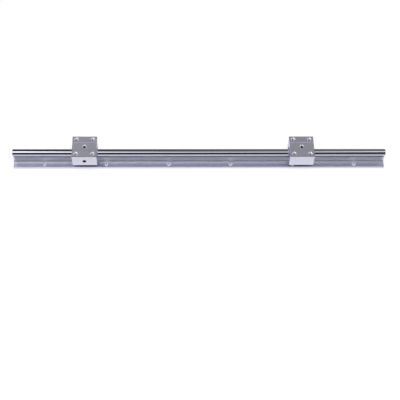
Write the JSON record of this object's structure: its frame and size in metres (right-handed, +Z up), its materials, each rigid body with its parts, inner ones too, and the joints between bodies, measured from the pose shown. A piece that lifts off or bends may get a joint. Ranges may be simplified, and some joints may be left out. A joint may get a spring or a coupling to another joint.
{
  "type": "supported round rail",
  "caption": "Round steel shaft on a continuous aluminium support, with two open pillow-block carriages on ball bearings that slide along it.",
  "frame": {"origin": "middle of the rail, on the plane of the support's mounting face", "axes": "+X along the rail, +Z up from the mounting face through the shaft"},
  "size_m": [0.6, 0.04, 0.0375],
  "materials": {
    "shaft_steel": "ground and hard-chromed, mirror bright",
    "support_aluminium": "extruded, fine lines along the rail, clear anodised",
    "housing_aluminium": "milled and clear anodised, satin",
    "bearing_steel": "ground",
    "ball_steel": "polished",
    "cage_plastic": "moulded",
    "seal_rubber": "moulded, matt",
    "spring_steel": "phosphated, matt",
    "black_steel": "black oxide"
  },
  "bodies": {
    "rail": {"shaft": "shaft_steel", "support_rail": "support_aluminium", "shaft_screw_1": "black_steel", "shaft_screw_2": "black_steel", "shaft_screw_3": "black_steel", "shaft_screw_4": "black_steel", "shaft_screw_5": "black_steel", "shaft_screw_6": "black_steel"},
    "carriage_left": {"housing_left": "housing_aluminium", "bearing_shell_left": "bearing_steel", "ball_cage_left": "cage_plastic", "bearing_balls_left": "ball_steel", "end_seal_west_left": "seal_rubber", "end_seal_east_left": "seal_rubber", "snap_ring_west_left": "spring_steel", "snap_ring_east_left": "spring_steel", "adjuster_screw_left": "black_steel", "locating_screw_left": "black_steel"},
    "carriage_right": {"housing_right": "housing_aluminium", "bearing_shell_right": "bearing_steel", "ball_cage_right": "cage_plastic", "bearing_balls_right": "ball_steel", "end_seal_west_right": "seal_rubber", "end_seal_east_right": "seal_rubber", "snap_ring_west_right": "spring_steel", "snap_ring_east_right": "spring_steel", "adjuster_screw_right": "black_steel", "locating_screw_right": "black_steel"}
  },
  "joints": [
    {"name": "left_slide", "type": "slide", "parent": "rail", "child": "carriage_left", "axis": [1, 0, 0], "range_m": [-0.0965, 0.164]},
    {"name": "right_slide", "type": "slide", "parent": "rail", "child": "carriage_right", "axis": [1, 0, 0], "range_m": [-0.143, 0.1175]}
  ]
}
